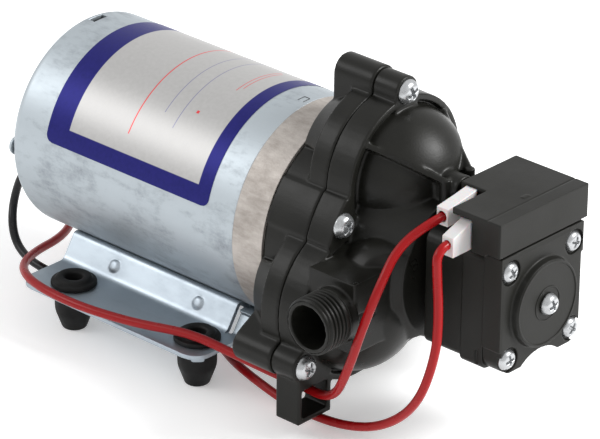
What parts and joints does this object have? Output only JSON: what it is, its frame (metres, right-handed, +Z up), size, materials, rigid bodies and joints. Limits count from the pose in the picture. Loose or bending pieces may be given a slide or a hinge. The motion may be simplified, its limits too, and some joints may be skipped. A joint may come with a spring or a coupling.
{
  "type": "diaphragm water pump",
  "caption": "Electric diaphragm water pump: round motor on a footed cradle, moulded pump head with threaded ports, lead clip and pressure switch.",
  "frame": {"origin": "centre of the four feet, on the surface that the feet stand on", "axes": "+X along the motor axis towards the pressure switch, +Z up, +Y away from the port that the picture shows"},
  "size_m": [0.2546, 0.127, 0.1242],
  "materials": {
    "zinc_can": "zinc plated, slightly mottled",
    "zinc_plate": "bright zinc plated",
    "die_cast": "as cast, dull",
    "black_moulding": "satin",
    "white_nylon": "satin",
    "black_rubber": "soft",
    "seal_rubber": "soft",
    "screw_steel": "zinc plated",
    "shaft_steel": "ground",
    "core_steel": "varnished laminations",
    "ferrite": "matte",
    "copper_windings": "enamelled copper",
    "commutator_copper": "bare copper",
    "carbon": "matte",
    "card": "fibre board",
    "white_moulding": "satin",
    "tinned_brass": "tinned",
    "red_insulation": "glossy",
    "black_insulation": "glossy"
  },
  "bodies": {
    "pump": {"motor_can": "zinc_can", "end_bell": "die_cast", "field_magnets": "ferrite", "rear_bearing": "shaft_steel", "front_bearing": "shaft_steel", "brush_card": "card", "carbon_brushes": "carbon", "through_bolts": "screw_steel", "lead_grommet": "black_rubber", "base_plate": "zinc_plate", "foot_rear_near": "black_rubber", "foot_rear_far": "black_rubber", "foot_front_near": "black_rubber", "foot_front_far": "black_rubber", "lower_housing": "black_moulding", "diaphragm": "seal_rubber", "valve_plate": "white_moulding", "inlet_valves": "seal_rubber", "outlet_valve": "seal_rubber", "upper_housing": "black_moulding", "housing_screws": "screw_steel", "check_valve_guide": "black_moulding", "check_valve_spring": "shaft_steel", "switch_body": "black_moulding", "switch_diaphragm": "seal_rubber", "switch_front": "black_moulding", "switch_screws": "screw_steel", "terminal_cover": "black_moulding", "micro_switch": "black_moulding", "upper_terminal": "tinned_brass", "lower_terminal": "tinned_brass", "upper_sleeve": "white_nylon", "lower_sleeve": "white_nylon", "pressure_spring": "shaft_steel", "red_motor_lead": "red_insulation", "red_supply_lead": "red_insulation", "black_supply_lead": "black_insulation"},
    "rotor": {"motor_shaft": "shaft_steel", "armature_core": "core_steel", "armature_windings": "copper_windings", "commutator": "commutator_copper", "drive_cam": "shaft_steel", "cam_bearing": "shaft_steel"},
    "wobble_drive": {"wobble_plate": "white_moulding", "piston_top": "white_moulding", "piston_near": "white_moulding", "piston_far": "white_moulding"},
    "check_valve": {"check_valve": "white_moulding"},
    "plunger": {"pressure_plunger": "white_moulding"},
    "button": {"switch_button": "white_moulding"},
    "adjuster": {"adjusting_screw": "screw_steel"}
  },
  "joints": [
    {"name": "motor_spin", "type": "hinge", "parent": "pump", "child": "rotor", "pos_m": [0, 0, 0.0585], "axis": [1, 0, 0], "continuous": true},
    {"name": "wobble_tilt", "type": "hinge", "parent": "pump", "child": "wobble_drive", "pos_m": [0.0708, 0, 0.0585], "axis": [0, 1, 0], "range_deg": [-1, 1], "stiffness_Nm_per_rad": 2},
    {"name": "check_valve_lift", "type": "slide", "parent": "pump", "child": "check_valve", "axis": [0, -1, 0], "range_m": [0, 0.003], "stiffness_N_per_m": 60, "springref_m": -0.002, "deforming": ["check_valve_spring"]},
    {"name": "plunger_stroke", "type": "slide", "parent": "pump", "child": "plunger", "axis": [1, 0, 0], "range_m": [0, 0.0012], "stiffness_N_per_m": 2000, "springref_m": -0.002, "deforming": ["pressure_spring"]},
    {"name": "button_stroke", "type": "slide", "parent": "pump", "child": "button", "axis": [0, 0, 1], "range_m": [0, 0.0012]},
    {"name": "pressure_adjuster", "type": "hinge", "parent": "pump", "child": "adjuster", "pos_m": [0.15, 0, 0.0585], "axis": [1, 0, 0], "range_deg": [-360, 360]}
  ],
  "couplings": [
    {"joint": "button_stroke", "follows": "plunger_stroke", "ratio": 1}
  ]
}
